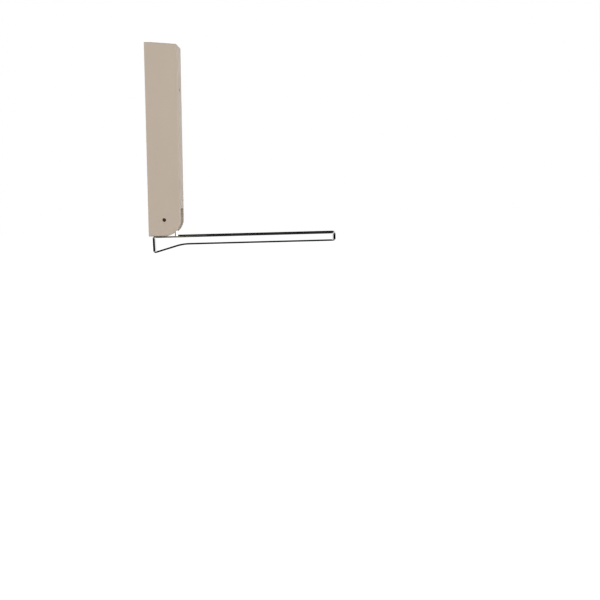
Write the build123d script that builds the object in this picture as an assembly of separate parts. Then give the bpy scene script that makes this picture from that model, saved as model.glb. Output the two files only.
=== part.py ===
from build123d import *
import os
from math import cos, radians, sin, tan

# A wall hook whose arm folds up against its housing. X points out of the wall,
# Y runs across the hook and Z points up. The origin lies in the wall plane,
# midway between the two wall screw holes. The arm is modelled open, as in use.

# Wall screw holes
hole_diameter = 4.5
lower_hole_height = 36.0
upper_hole_depth = 18.0

# Housing, outside
body_height = 150.0
body_depth = 25.4
body_width = 21.0
top_flat = 5.0
top_drop = 1.4
top_front_radius = 1.2
foot_radius = 12.8
edge_radius = 0.8

# Housing, inside
side_wall = 2.2
front_wall = 3.0
end_wall = 3.5
rib_thickness = 1.6
rib_setback = 7.0
rib_heights = (58.0, 86.0)
screw_boss_diameter = 9.0
screw_boss_length = 5.0

# Pivot
pivot_to_front = 12.8
pivot_to_foot = 12.85
pin_diameter = 3.0
pin_recess = 0.5
pin_chamfer = 0.2
running_clearance = 0.05

# Arm
arm_tilt = 1.5
arm_reach = 149.1
arm_side_inset = 1.0
arm_thickness = 7.2
arm_standoff = 13.05
arm_corner_radius = 4.0
arm_edge_radius = 1.6
heel_wall_gap = 2.15
heel_height = 14.05
ramp_reach = 26.9
ramp_radius = 36.0
lug_radius = 8.0
lug_edge_radius = 1.4
slot_clearance = 0.7
slot_side_clearance = 0.3

# Bushes, washers and spring on the pin
bush_diameter = 5.0
bush_gap = 1.0
washer_diameter = 9.0
washer_thickness = 1.0
disc_spring_thickness = 0.4
disc_spring_height = 0.8
stack_clearance = 0.1

# Stop pads under the housing
pad_length = 4.5
pad_width = 2.0
pad_thickness = 1.6
pad_slot_gap = 0.6
pad_wall_gap = 5.4
stop_gap = 0.1

# Wall bracket, standoff and fixing screw
bracket_thickness = 2.0
bracket_side_gap = 0.7
bracket_foot_height = 27.0
bracket_lip = 9.0
bracket_bend_radius = 1.0
bracket_corner_radius = 3.0
screw_depth = 35.0
screw_diameter = 3.0
screw_hole_clearance = 0.2
screw_head_diameter = 5.6
screw_head_sink = 0.1
screw_length = 16.0
screw_socket = 2.0
screw_socket_depth = 1.2
standoff_across_flats = 6.0
standoff_bore_depth = 11.0

# Cuts run this far past the face they open
overcut = 1.0

# Places that follow from the sizes above
hole_spacing = body_height - lower_hole_height - upper_hole_depth
foot_z = -(hole_spacing / 2 + lower_hole_height)
top_z = foot_z + body_height
pivot_x = body_depth - pivot_to_front
pivot_z = foot_z + pivot_x * tan(radians(arm_tilt)) + pivot_to_foot / cos(radians(arm_tilt))
inner_width = body_width - 2 * side_wall
inner_front = body_depth - front_wall
inner_top = top_z - end_wall
screw_z = top_z - screw_depth
arm_width = body_width - 2 * arm_side_inset
washer_stack = washer_thickness + disc_spring_height
lug_width = inner_width - 2 * (washer_stack + 2 * stack_clearance)
slot_width = lug_width + 2 * slot_side_clearance
pad_proud = arm_standoff - pivot_to_foot - stop_gap
slot_back = pivot_x - lug_radius - slot_clearance
slot_top = pivot_z + lug_radius + slot_clearance
pin_radius = pin_diameter / 2


def foot_line(x, rise=0.0):
    """Height of the sloping foot at x, or of a line above it by rise."""
    return foot_z + x * tan(radians(arm_tilt)) + rise / cos(radians(arm_tilt))


def slab(face, width):
    """The face, drawn in X and Z, thickened evenly to both sides of the middle plane."""
    return extrude(Plane.XZ * face, amount=width / 2, both=True)


def corner(face, x, z, radius):
    """The drawn face with its corner nearest to (x, z) rounded."""
    nearest = face.vertices().sort_by_distance((x, z, 0))[0]
    return fillet(nearest, radius)


def disc(diameter, y_low, y_high, x=pivot_x, z=pivot_z):
    """A round bar across the hook between two values of Y."""
    bar = Plane.XZ * Pos(x, z) * Circle(diameter / 2)
    return Pos(0, y_high, 0) * extrude(bar, amount=y_high - y_low)


def front_bar(diameter, x_low, x_high, z=screw_z):
    """A round bar along X between two values of X."""
    bar = Plane.YZ * Pos(0, z) * Circle(diameter / 2)
    return Pos(x_low, 0, 0) * extrude(bar, amount=x_high - x_low)


def housing_outline():
    """Side outline: straight back, sloping top, and a foot rounded towards the front."""
    front_foot = foot_line(body_depth)
    front_top = top_z - top_drop
    face = make_face(
        Polyline(
            (0, foot_z),
            (body_depth, front_foot),
            (body_depth, front_top),
            (top_flat, top_z),
            (0, top_z),
            close=True,
        )
    )
    face = corner(face, body_depth, front_foot, foot_radius)
    return corner(face, body_depth, front_top, top_front_radius)


def cavity_outline():
    """Side outline of the hollow, which runs out through the open back."""
    front_foot = foot_line(inner_front, end_wall)
    face = make_face(
        Polyline(
            (-overcut, foot_line(-overcut, end_wall)),
            (inner_front, front_foot),
            (inner_front, inner_top),
            (-overcut, inner_top),
            close=True,
        )
    )
    return corner(face, inner_front, front_foot, foot_radius - end_wall)


def stop_pad(side):
    """Soft pad set in the foot beside the slot, a little proud so that the heel meets it first."""
    middle_y = side * (slot_width / 2 + pad_slot_gap + pad_width / 2)
    along = pad_wall_gap + pad_length / 2
    block = Box(pad_length, pad_width, pad_thickness, align=(Align.CENTER, Align.CENTER, Align.MAX))
    seat = foot_line(along, pad_thickness - pad_proud)
    return Pos(along, middle_y, seat) * Rot(0, -arm_tilt, 0) * block


def housing():
    """Moulded shell with slot, ribs, screw boss, pin bores and pockets for the stop pads."""
    shell = slab(housing_outline(), body_width)
    near_rim = shell.faces().sort_by(Axis.Y)[0].edges()
    far_rim = shell.faces().sort_by(Axis.Y)[-1].edges()
    rim = [edge for edge in near_rim + far_rim if edge.center().X > edge_radius]
    shell = fillet(rim, edge_radius)
    shell -= slab(cavity_outline(), inner_width)
    for height in rib_heights:
        rib_length = inner_front - rib_setback
        rib = Box(rib_length, inner_width, rib_thickness, align=(Align.MIN, Align.CENTER, Align.CENTER))
        shell += Pos(rib_setback, 0, foot_z + height) * rib
    shell += front_bar(screw_boss_diameter, inner_front - screw_boss_length, inner_front)
    shell -= front_bar(screw_diameter + 2 * screw_hole_clearance, 0, body_depth + overcut)
    shell -= screw_head(screw_hole_clearance)
    slot_depth = body_depth - slot_back + overcut
    slot_height = slot_top - foot_z + overcut
    slot = Box(slot_depth, slot_width, slot_height, align=(Align.MIN, Align.CENTER, Align.MAX))
    shell -= Pos(slot_back, 0, slot_top) * slot
    shell -= disc(pin_diameter, -body_width, body_width)
    for side in (-1, 1):
        shell -= stop_pad(side)
    return shell


def along_arm(x, drop):
    """Distance along the arm from the pivot to a point at x that lies drop below the pivot."""
    return (x - pivot_x - drop * sin(radians(arm_tilt))) / cos(radians(arm_tilt))


def arm_outline():
    """Side outline of bar and heel, drawn about the pivot with the bar level."""
    level = -arm_standoff
    underside = level - arm_thickness
    heel_x = along_arm(heel_wall_gap, arm_standoff)
    tip_x = along_arm(arm_reach, arm_standoff + arm_thickness)
    ramp_x = along_arm(ramp_reach, arm_standoff + arm_thickness)
    face = make_face(
        Polyline(
            (heel_x, level),
            (tip_x, level),
            (tip_x, underside),
            (ramp_x, underside),
            (heel_x, level - heel_height),
            close=True,
        )
    )
    return corner(face, ramp_x, underside, ramp_radius)


def lug_outline():
    """Side outline of the lug: a round head on the pivot and straight flanks down into the bar."""
    depth = arm_standoff + arm_thickness / 2
    flanks = Pos(0, -depth / 2) * Rectangle(2 * lug_radius, depth)
    return Circle(lug_radius) + flanks


def arm():
    """Cast arm: flat bar with rounded ends, deep heel and bored lug, tilted up a little."""
    bar = slab(arm_outline(), arm_width)
    ends = bar.faces().sort_by(Axis.X)[0].edges() + bar.faces().sort_by(Axis.X)[-1].edges()
    corners = [edge for edge in ends if abs(edge.center().Y) > arm_corner_radius]
    bar = fillet(corners, arm_corner_radius)
    bar = fillet(bar.edges(), arm_edge_radius)
    lug = slab(lug_outline(), lug_width)
    lug = fillet(lug.edges(), lug_edge_radius)
    cast = bar + lug - disc(bush_diameter, -lug_width, lug_width, 0, 0)
    return Pos(pivot_x, 0, pivot_z) * Rot(0, -arm_tilt, 0) * cast


def pivot_pin():
    """Plain pin pressed through both side walls, its ends sunk below them."""
    half = body_width / 2 - pin_recess
    return chamfer(disc(pin_diameter, -half, half).edges(), pin_chamfer)


def bush(side):
    """Plain bush pressed into one end of the lug's bore."""
    inner = bush_gap / 2
    outer = lug_width / 2
    low, high = sorted((side * inner, side * outer))
    bore = pin_diameter + 2 * running_clearance
    return disc(bush_diameter, low, high) - disc(bore, low - overcut, high + overcut)


def thrust_washer(side, thickness):
    """Flat ring on the pin beside the lug."""
    inner = lug_width / 2 + stack_clearance
    low, high = sorted((side * inner, side * (inner + thickness)))
    bore = pin_diameter + 2 * running_clearance
    return disc(washer_diameter, low, high) - disc(bore, low - overcut, high + overcut)


def disc_spring():
    """Coned ring between the near washer and the housing's near wall."""
    inner = pin_radius + running_clearance
    outer = washer_diameter / 2
    cone = disc_spring_height - disc_spring_thickness
    section = make_face(
        Polyline(
            (inner, cone),
            (inner, cone + disc_spring_thickness),
            (outer, disc_spring_thickness),
            (outer, 0),
            close=True,
        )
    )
    ring = revolve(Plane.XZ * section, Axis.Z)
    seat_y = -inner_width / 2 + stack_clearance
    return Pos(pivot_x, seat_y, pivot_z) * Rot(-90, 0, 0) * ring


def wall_bracket():
    """Steel strip with its top bent forward into a lip, two screw holes and a rivet hole."""
    width = inner_width - 2 * bracket_side_gap
    low = foot_z + bracket_foot_height
    section = make_face(
        Polyline(
            (0, low),
            (bracket_thickness, low),
            (bracket_thickness, inner_top - bracket_thickness),
            (bracket_lip, inner_top - bracket_thickness),
            (bracket_lip, inner_top),
            (0, inner_top),
            close=True,
        )
    )
    section = corner(section, bracket_thickness, inner_top - bracket_thickness, bracket_bend_radius)
    section = corner(section, 0, inner_top, bracket_bend_radius + bracket_thickness)
    strip = slab(section, width)
    foot_edges = strip.edges().filter_by(Axis.X).group_by(Axis.Z)[0]
    strip = fillet(foot_edges, bracket_corner_radius)
    lip_edges = strip.edges().filter_by(Axis.Z).group_by(Axis.X)[-1]
    strip = fillet(lip_edges, bracket_corner_radius)
    for side in (-1, 1):
        strip -= front_bar(hole_diameter, -overcut, bracket_thickness + overcut, side * hole_spacing / 2)
    return strip


def bracket_standoff():
    """Six-sided spacer with a threaded bore, from the bracket to the housing's screw boss."""
    start = bracket_thickness
    end = inner_front - screw_boss_length
    hexagon = RegularPolygon(standoff_across_flats / 2, 6, major_radius=False)
    body = Pos(start, 0, screw_z) * extrude(Plane.YZ * hexagon, amount=end - start)
    return body - front_bar(screw_diameter, end - standoff_bore_depth, end + overcut)


def screw_head(extra=0.0):
    """Countersunk head, or the seat that it lies in where extra is its clearance."""
    face_x = body_depth - screw_head_sink
    big = screw_head_diameter / 2 + extra
    small = screw_diameter / 2
    cone = Plane.YZ * Circle(big)
    height = big - small
    head = extrude(cone, amount=-height, taper=45)
    mouth = extrude(cone, amount=screw_head_sink + overcut) if extra else Part()
    return Pos(face_x, 0, screw_z) * (head + mouth)


def fixing_screw():
    """Countersunk screw with a six-sided socket, through the front into the standoff."""
    face_x = body_depth - screw_head_sink
    shank = front_bar(screw_diameter, face_x - screw_length, face_x - screw_socket_depth / 2)
    socket = Plane.YZ * RegularPolygon(screw_socket / 2, 6, major_radius=False)
    recess = Pos(face_x, 0, screw_z) * extrude(socket, amount=-screw_socket_depth)
    return screw_head() + shank - recess


pieces = {
    "housing": housing(),
    "arm": arm(),
    "pivot_pin": pivot_pin(),
    "bush_near": bush(-1),
    "bush_far": bush(1),
    "thrust_washer_near": thrust_washer(-1, washer_thickness),
    "thrust_washer_far": thrust_washer(1, washer_stack),
    "disc_spring": disc_spring(),
    "stop_pad_near": stop_pad(-1),
    "stop_pad_far": stop_pad(1),
    "wall_bracket": wall_bracket(),
    "bracket_standoff": bracket_standoff(),
    "fixing_screw": fixing_screw(),
}

os.makedirs("parts", exist_ok=True)
for name, piece in pieces.items():
    export_step(piece, f"parts/{name}.step")
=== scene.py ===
import bpy
import math
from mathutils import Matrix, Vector


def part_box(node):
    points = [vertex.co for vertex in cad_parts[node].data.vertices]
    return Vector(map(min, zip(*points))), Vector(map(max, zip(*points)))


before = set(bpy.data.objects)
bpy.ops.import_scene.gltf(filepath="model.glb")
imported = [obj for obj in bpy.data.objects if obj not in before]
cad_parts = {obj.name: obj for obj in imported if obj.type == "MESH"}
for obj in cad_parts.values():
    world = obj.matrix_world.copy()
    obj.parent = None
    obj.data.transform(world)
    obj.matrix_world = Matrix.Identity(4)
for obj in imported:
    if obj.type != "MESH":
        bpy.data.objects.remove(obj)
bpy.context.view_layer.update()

# Camera: straight across the hook and a little from above, as in the photograph
CAMERA_PLACE = (0.12039, -0.68390, -0.03625)
CAMERA_PITCH = 8.34
CAMERA_LENS = 50.73
SENSOR_WIDTH = 36
CAMERA_NEAR = 0.01
CAMERA_FAR = 20

# What polished metal mirrors: dark all round, with brighter areas. An area is a box of directions with its
# level. Its limits along X, Y and Z are the shares where it starts, is full, is full no more and ends, and
# an end at OPEN or beyond has no limit.
OPEN = 9
WHITE = 1.12
ANY = (-OPEN, -OPEN, OPEN, OPEN)
LEFT = (-OPEN, -OPEN, -0.5, -0.35)
RIGHT = (0.35, 0.5, OPEN, OPEN)
FAR_LEFT = (-OPEN, -OPEN, -0.75, -0.6)
FAR_RIGHT = (0.6, 0.75, OPEN, OPEN)
AHEAD = (-OPEN, -OPEN, -0.52, -0.41)
BEHIND = (0.2, 0.4, OPEN, OPEN)
ALL_HEIGHTS = (-0.7, -0.55, 0.8, 0.9)
FLOOR_BEHIND = (-0.75, -0.6, -0.2, -0.12)
FLOOR_BESIDE = (-0.6, -0.5, -0.25, -0.15)
BRIGHT_AREAS = (
    # before the arm's side, and further round to both sides
    ((-0.6, -0.45, 0.45, 0.6), AHEAD, (-0.4, -0.15, 0.42, 0.6), WHITE),
    (LEFT, AHEAD, ALL_HEIGHTS, 0.88),
    (RIGHT, AHEAD, ALL_HEIGHTS, 0.88),
    # high up on the wall's side and opposite
    (LEFT, ANY, (0.15, 0.25, 0.8, 0.9), WHITE),
    (FAR_RIGHT, ANY, (0.35, 0.5, 0.8, 0.9), WHITE),
    # the floor behind the hook
    ((-OPEN, -OPEN, 0.2, 0.35), BEHIND, FLOOR_BEHIND, 0.62),
    ((0.2, 0.35, OPEN, OPEN), BEHIND, FLOOR_BEHIND, 0.4),
    # what the front face mirrors at a glance
    ((0.07, 0.1, 0.3, 0.4), (0.85, 0.9, OPEN, OPEN), (-0.3, -0.2, 0.4, 0.5), 2.0),
    # a dim band overhead
    (ANY, (0.38, 0.52, 0.58, 0.66), (0.6, 0.7, OPEN, OPEN), 0.2),
    # the floor to both sides
    (FAR_RIGHT, ANY, FLOOR_BESIDE, 0.25),
    (FAR_LEFT, ANY, FLOOR_BESIDE, 0.25),
)
DARK = 0.003

# Level of the light on dull surfaces, level with the hook and from above, and the shares of Z between
# which it falls off
FILL = 0.565
FILL_ABOVE = 0.285
FILL_FALL = (0.05, 0.7)

# Floor: height and side in metres, its own grey, and what it adds to that before the camera
FLOOR_Z = -0.5
FLOOR_SIDE = 12
FLOOR_GREY = 0.35
FLOOR_GLOW = 0.95

# Lamps: name, place, size and power
LAMP_TARGET = (0.05, 0, -0.01)
LAMPS = (
    ("front_lamp", (0.1, -1.6, 0.05), (1.6, 1.2), 15.7),
    ("right_lamp", (1.2, -0.25, 0.1), (1.0, 1.0), 7.4),
    ("back_lamp", (-0.9, 1.5, 0.1), (1.2, 1.0), 12.3),
)

# Screw: radius of its socket, coloured dark as painted shade of the recess, and the width over which that
# painted shade fades into the beige paint at its rim
SOCKET_RADIUS = 0.00112
SOCKET_SHADE_EDGE = 0.00015


def srgb(red, green, blue):
    """The linear colour of one given in 0 to 255 as a picture shows it."""
    linear = []
    for value in (red, green, blue):
        share = value / 255
        linear.append(share / 12.92 if share <= 0.04045 else ((share + 0.055) / 1.055) ** 2.4)
    return (*linear, 1)


def scaled(colour, factor):
    return (*[channel * factor for channel in colour[:3]], 1)


BEIGE = srgb(190, 175, 159)


class Surface:
    """A material being built: its nodes, its links and its shader."""

    def __init__(self, name, base, roughness, metallic=0.0):
        self.material = bpy.data.materials.new(name)
        self.material.use_nodes = True
        self.tree = self.material.node_tree
        self.shader = self.tree.nodes["Principled BSDF"]
        self.shader.inputs["Base Color"].default_value = base
        self.shader.inputs["Roughness"].default_value = roughness
        self.shader.inputs["Metallic"].default_value = metallic
        self.place = self.tree.nodes.new("ShaderNodeTexCoord").outputs["Object"]

    def node(self, kind, **inputs):
        made = self.tree.nodes.new(kind)
        for key, value in inputs.items():
            self.feed(made.inputs[key.replace("_", " ")], value)
        return made

    def feed(self, socket, value):
        if isinstance(value, bpy.types.NodeSocket):
            self.tree.links.new(value, socket)
        else:
            socket.default_value = value

    def noise(self, scale, detail=2.0, stretch=(1, 1, 1)):
        """Noise of about 1/scale metres, finer or coarser along an axis by stretch."""
        mapping = self.node("ShaderNodeMapping", Vector=self.place, Scale=stretch)
        made = self.node("ShaderNodeTexNoise", Vector=mapping.outputs["Vector"], Scale=scale, Detail=detail)
        return made.outputs["Fac"]

    def spread(self, value, low, high, from_low=0.3, from_high=0.7):
        """Value carried from its own range, by default that of a noise, to low and high."""
        made = self.node("ShaderNodeMapRange", Value=value)
        made.inputs["From Min"].default_value = from_low
        made.inputs["From Max"].default_value = from_high
        made.inputs["To Min"].default_value = low
        made.inputs["To Max"].default_value = high
        return made.outputs["Result"]

    def tint(self, amount, low, high):
        """Base colour running from low to high as amount goes from 0 to 1."""
        mix = self.tree.nodes.new("ShaderNodeMix")
        mix.data_type = "RGBA"
        self.feed(mix.inputs[0], amount)
        self.feed(mix.inputs[6], low)
        self.feed(mix.inputs[7], high)
        self.tree.links.new(mix.outputs[2], self.shader.inputs["Base Color"])

    def rough(self, value):
        self.feed(self.shader.inputs["Roughness"], value)

    def bump(self, *layers):
        """Stacks bumps, each a height and its depth in metres."""
        normal = None
        for height, depth in layers:
            made = self.node("ShaderNodeBump", Height=height, Distance=depth, Strength=1.0)
            if normal is not None:
                self.feed(made.inputs["Normal"], normal)
            normal = made.outputs["Normal"]
        self.feed(self.shader.inputs["Normal"], normal)


def moulded_plastic():
    """Beige housing: fine moulded grain over a faint waviness."""
    made = Surface("housing_plastic", BEIGE, 0.5)
    made.tint(made.spread(made.noise(90, 3, (1, 1, 0.35)), 0, 1), scaled(BEIGE, 0.985), scaled(BEIGE, 1.015))
    made.rough(made.spread(made.noise(1500), 0.42, 0.52))
    made.bump((made.noise(2200, 3), 0.00006), (made.noise(120, 1), 0.00003))
    made.shader.inputs["Specular IOR Level"].default_value = 0.5
    return made.material


def chrome():
    """Bright plating over a polished casting: a trace of polishing lines and ripple."""
    made = Surface("arm_chrome", srgb(246, 246, 247), 0.03, 1.0)
    made.tint(made.noise(60), srgb(244, 245, 246), srgb(248, 248, 248))
    made.rough(made.spread(made.noise(900, 3, (0.08, 1, 1)), 0.02, 0.05))
    made.bump((made.noise(70, 1), 0.000004))
    return made.material


def dark_steel():
    """Blackened pin: uneven brown-black oxide with a fine grain."""
    made = Surface("dark_steel", srgb(52, 42, 32), 0.45, 0.6)
    made.tint(made.spread(made.noise(1800), 0, 1), srgb(38, 31, 24), srgb(66, 54, 42))
    made.rough(made.spread(made.noise(3000), 0.35, 0.55))
    made.bump((made.noise(5000, 3), 0.00001))
    return made.material


def plain_plastic(name, colour, grain):
    """Turned or moulded plastic of the bushes and washers."""
    made = Surface(name, colour, 0.4)
    made.tint(made.spread(made.noise(400), 0, 1), scaled(colour, 0.96), scaled(colour, 1.02))
    made.rough(made.spread(made.noise(grain), 0.33, 0.47))
    made.bump((made.noise(grain, 3), 0.00001))
    made.shader.inputs["Subsurface Weight"].default_value = 0.1
    made.shader.inputs["Subsurface Radius"].default_value = (0.001, 0.001, 0.0008)
    return made.material


def spring_steel():
    """Tempered sheet: cloudy grey with a fine grain."""
    made = Surface("spring_steel", srgb(150, 148, 145), 0.3, 1.0)
    made.tint(made.spread(made.noise(600), 0, 1), srgb(120, 118, 116), srgb(160, 158, 154))
    made.rough(made.spread(made.noise(4000), 0.25, 0.4))
    made.bump((made.noise(4000, 3), 0.000008))
    return made.material


def rubber():
    """Dull soft pad with a fine skin."""
    made = Surface("pad_rubber", srgb(92, 86, 80), 0.8)
    made.tint(made.spread(made.noise(900), 0, 1), srgb(84, 78, 73), srgb(98, 92, 86))
    made.rough(made.spread(made.noise(2000), 0.7, 0.9))
    made.bump((made.noise(3500, 4), 0.00002))
    return made.material


def zinc_plate():
    """Zinc-plated strip: rolled grain along its length, cloudy plating."""
    made = Surface("bracket_steel", srgb(196, 199, 202), 0.35, 1.0)
    made.tint(made.spread(made.noise(220, 4), 0, 1), srgb(178, 182, 188), srgb(206, 208, 206))
    made.rough(made.spread(made.noise(1400, 3, (1, 1, 0.05)), 0.25, 0.45))
    made.bump((made.noise(1800, 2, (1, 1, 0.04)), 0.00001), (made.noise(700, 3), 0.00001))
    return made.material


def painted_screw():
    """Screw head painted to match the housing; its socket is coloured dark brown as painted shade of the
    recess.
    """
    made = Surface("painted_screw", BEIGE, 0.45)
    low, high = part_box("fixing_screw")
    middle = (low + high) / 2
    apart = made.node("ShaderNodeSeparateXYZ", Vector=made.place)
    across = made.node("ShaderNodeCombineXYZ", Y=apart.outputs["Y"], Z=apart.outputs["Z"])
    distance = made.tree.nodes.new("ShaderNodeVectorMath")
    distance.operation = "DISTANCE"
    made.feed(distance.inputs[0], across.outputs["Vector"])
    made.feed(distance.inputs[1], (0, middle.y, middle.z))
    # 0 inside the socket, where the dark brown is painted shade of the recess, and 1 on the beige-painted
    # head around it
    beyond_socket_shade = made.spread(distance.outputs["Value"], 0, 1, SOCKET_RADIUS, SOCKET_RADIUS + SOCKET_SHADE_EDGE)
    made.tint(beyond_socket_shade, srgb(70, 62, 54), BEIGE)
    made.rough(made.spread(made.noise(1800), 0.4, 0.5))
    made.bump((made.noise(2600, 2), 0.00002))
    return made.material


MATERIALS = {
    "housing": moulded_plastic(),
    "arm": chrome(),
    "pivot_pin": dark_steel(),
    "bush_near": plain_plastic("bush_plastic", srgb(236, 233, 224), 2500),
    "thrust_washer_near": plain_plastic("washer_plastic", srgb(220, 215, 200), 1800),
    "disc_spring": spring_steel(),
    "stop_pad_near": rubber(),
    "wall_bracket": zinc_plate(),
    "fixing_screw": painted_screw(),
}
MATERIALS["bush_far"] = MATERIALS["bush_near"]
MATERIALS["thrust_washer_far"] = MATERIALS["thrust_washer_near"]
MATERIALS["stop_pad_far"] = MATERIALS["stop_pad_near"]
MATERIALS["bracket_standoff"] = MATERIALS["wall_bracket"]

for name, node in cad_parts.items():
    for slot in node.material_slots:
        slot.material = MATERIALS[name]


def lamp(name, place, size, power):
    """A soft rectangular lamp that lights dull surfaces and isn't mirrored."""
    data = bpy.data.lights.new(name, "AREA")
    data.shape = "RECTANGLE"
    data.size, data.size_y = size
    data.energy = power
    made = bpy.data.objects.new(name, data)
    made.location = place
    made.rotation_mode = "QUATERNION"
    made.rotation_quaternion = (Vector(LAMP_TARGET) - Vector(place)).to_track_quat("-Z", "Y")
    made.visible_glossy = False
    bpy.context.scene.collection.objects.link(made)


def studio_world():
    """White to the camera, even light on dull surfaces, and bright areas among dark for polished metal."""
    world = bpy.data.worlds.new("studio")
    bpy.context.scene.world = world
    world.use_nodes = True
    tree = world.node_tree
    tree.nodes.clear()

    def node(kind, *values):
        made = tree.nodes.new(kind)
        for socket, value in zip(made.inputs, values):
            if isinstance(value, bpy.types.NodeSocket):
                tree.links.new(value, socket)
            elif value is not None:
                socket.default_value = value
        return made

    def combined(operation, first, second):
        made = node("ShaderNodeMath", first, second)
        made.operation = operation
        return made.outputs[0]

    def slope(value, start, end):
        """0 up to start and 1 past end, or the reverse where end comes first."""
        made = node("ShaderNodeMapRange", value, start, end, 0.0, 1.0)
        made.interpolation_type = "SMOOTHSTEP"
        return made.outputs[0]

    direction = node("ShaderNodeTexCoord").outputs["Generated"]
    shares = node("ShaderNodeSeparateXYZ", direction).outputs
    mirrored = DARK
    for *area, level in BRIGHT_AREAS:
        inside = level
        for share, (start, full, full_end, end) in zip(shares, area):
            for low, high in ((start, full), (end, full_end)):
                if abs(low) < OPEN:
                    inside = combined("MULTIPLY", inside, slope(share, low, high))
        mirrored = combined("MAXIMUM", mirrored, inside)
    path = node("ShaderNodeLightPath")
    fill = node("ShaderNodeMapRange", shares["Z"], *FILL_FALL, FILL, FILL_ABOVE).outputs[0]
    unseen = node("ShaderNodeMix", path.outputs["Is Glossy Ray"], None, fill, mirrored)
    strength = node("ShaderNodeMix", path.outputs["Is Camera Ray"], None, unseen.outputs[0], 1.0)
    white = node("ShaderNodeBackground", (1, 1, 1, 1), strength.outputs[0])
    out = node("ShaderNodeOutputWorld")
    tree.links.new(white.outputs[0], out.inputs["Surface"])


def floor():
    """Pale floor well below the hook: white to the camera, and it takes the hook's soft shadow."""
    material = bpy.data.materials.new("floor")
    material.use_nodes = True
    tree = material.node_tree
    tree.nodes.clear()
    path = tree.nodes.new("ShaderNodeLightPath")
    glow = tree.nodes.new("ShaderNodeEmission")
    matt = tree.nodes.new("ShaderNodeBsdfDiffuse")
    total = tree.nodes.new("ShaderNodeAddShader")
    out = tree.nodes.new("ShaderNodeOutputMaterial")
    matt.inputs["Color"].default_value = (FLOOR_GREY, FLOOR_GREY, FLOOR_GREY, 1)
    level = tree.nodes.new("ShaderNodeMath")
    level.operation = "MULTIPLY"
    level.inputs[1].default_value = FLOOR_GLOW
    tree.links.new(path.outputs["Is Camera Ray"], level.inputs[0])
    tree.links.new(level.outputs[0], glow.inputs["Strength"])
    tree.links.new(glow.outputs[0], total.inputs[0])
    tree.links.new(matt.outputs[0], total.inputs[1])
    tree.links.new(total.outputs[0], out.inputs["Surface"])
    mesh = bpy.data.meshes.new("floor")
    half = FLOOR_SIDE / 2
    corners = [(-half, -half, FLOOR_Z), (half, -half, FLOOR_Z), (half, half, FLOOR_Z), (-half, half, FLOOR_Z)]
    mesh.from_pydata(corners, [], [(0, 1, 2, 3)])
    mesh.materials.append(material)
    made = bpy.data.objects.new("floor", mesh)
    made.visible_glossy = False
    bpy.context.scene.collection.objects.link(made)


def camera():
    """The photograph's view."""
    data = bpy.data.cameras.new("camera")
    data.lens = CAMERA_LENS
    data.sensor_width = SENSOR_WIDTH
    data.clip_start = CAMERA_NEAR
    data.clip_end = CAMERA_FAR
    made = bpy.data.objects.new("camera", data)
    made.location = CAMERA_PLACE
    made.rotation_euler = (math.radians(90 - CAMERA_PITCH), 0, 0)
    bpy.context.scene.collection.objects.link(made)
    bpy.context.scene.camera = made


studio_world()
floor()
for name, place, size, power in LAMPS:
    lamp(name, place, size, power)
camera()
bpy.context.scene.view_settings.view_transform = "Standard"
